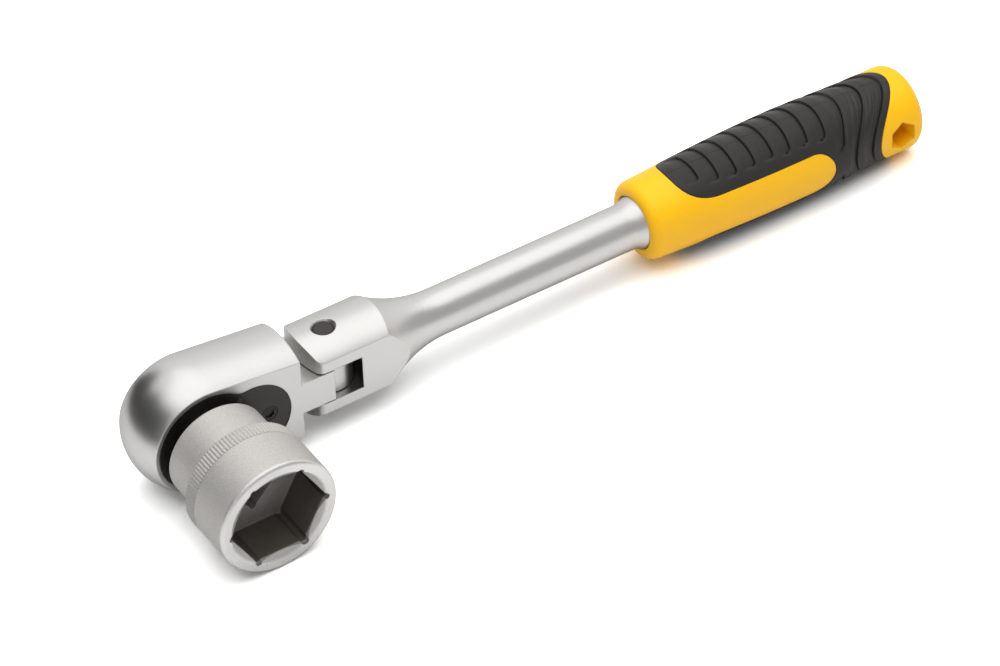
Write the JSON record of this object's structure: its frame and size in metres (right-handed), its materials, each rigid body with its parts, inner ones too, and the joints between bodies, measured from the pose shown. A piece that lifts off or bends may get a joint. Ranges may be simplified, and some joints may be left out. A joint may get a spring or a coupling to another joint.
{
  "type": "flex head ratchet with socket",
  "caption": "Reversible ratchet with a flexing head on a forked shaft, a ribbed two-colour grip and a large hex socket on its square drive.",
  "frame": {"origin": "on the drive axis, halfway through the thickness of the ratchet head", "axes": "+X runs from the drive axis along the handle to the grip, -Y is the side the square drive and its socket point to, +Z runs along the flex pin"},
  "size_m": [0.3023, 0.0706, 0.0456],
  "materials": {
    "satin_chrome": "satin chrome plate",
    "matte_chrome": "matte pearl chrome",
    "lever_chrome": "satin chrome plate",
    "black_plate": "blackened steel",
    "dark_steel": "hardened steel",
    "drive_steel": "plated steel",
    "spring_steel": "spring steel",
    "yellow_plastic": "moulded",
    "black_rubber": "matte moulded"
  },
  "bodies": {
    "handle": {"fork_shaft": "satin_chrome", "flex_pin": "dark_steel", "spring_washers": "spring_steel", "flex_plunger": "dark_steel", "flex_spring": "spring_steel", "grip_core": "yellow_plastic", "grip_rubber": "black_rubber"},
    "head": {"head_body": "satin_chrome", "cover_plate": "black_plate", "plate_rivets": "dark_steel"},
    "lever": {"reverse_lever": "lever_chrome", "lever_screw": "dark_steel", "lever_spring": "spring_steel", "lever_plunger": "dark_steel"},
    "pawl": {"pawl": "dark_steel"},
    "drive": {"drive_gear": "drive_steel", "button_clip": "spring_steel", "release_spring": "spring_steel"},
    "button": {"release_button": "lever_chrome"},
    "ball": {"detent_ball": "drive_steel"},
    "socket": {"socket": "matte_chrome"}
  },
  "joints": [
    {"name": "head_flex", "type": "hinge", "parent": "handle", "child": "head", "pos_m": [0.05, 0, 0], "axis": [0, 0, 1], "range_deg": [-60, 60]},
    {"name": "lever_throw", "type": "hinge", "parent": "head", "child": "lever", "pos_m": [0.0223, 0, 0], "axis": [0, -1, 0], "range_deg": [0, 50]},
    {"name": "pawl_swing", "type": "hinge", "parent": "head", "child": "pawl", "pos_m": [0.0223, 0, 0], "axis": [0, -1, 0], "range_deg": [-7, 0]},
    {"name": "drive_spin", "type": "hinge", "parent": "head", "child": "drive", "pos_m": [0, 0, 0], "axis": [0, -1, 0], "continuous": true},
    {"name": "button_press", "type": "slide", "parent": "drive", "child": "button", "axis": [0, -1, 0], "range_m": [0, 0.0025], "stiffness_N_per_m": 800, "springref_m": -0.001, "deforming": ["release_spring"]},
    {"name": "ball_slide", "type": "slide", "parent": "drive", "child": "ball", "axis": [-0.7071, 0, -0.7071], "range_m": [0, 0.0009]},
    {"name": "socket_pull", "type": "slide", "parent": "drive", "child": "socket", "axis": [0, -1, 0], "range_m": [0, 0.017]}
  ],
  "couplings": [
    {"joint": "pawl_swing", "follows": "lever_throw", "ratio": -0.14},
    {"joint": "ball_slide", "follows": "button_press", "ratio": 0.36}
  ]
}
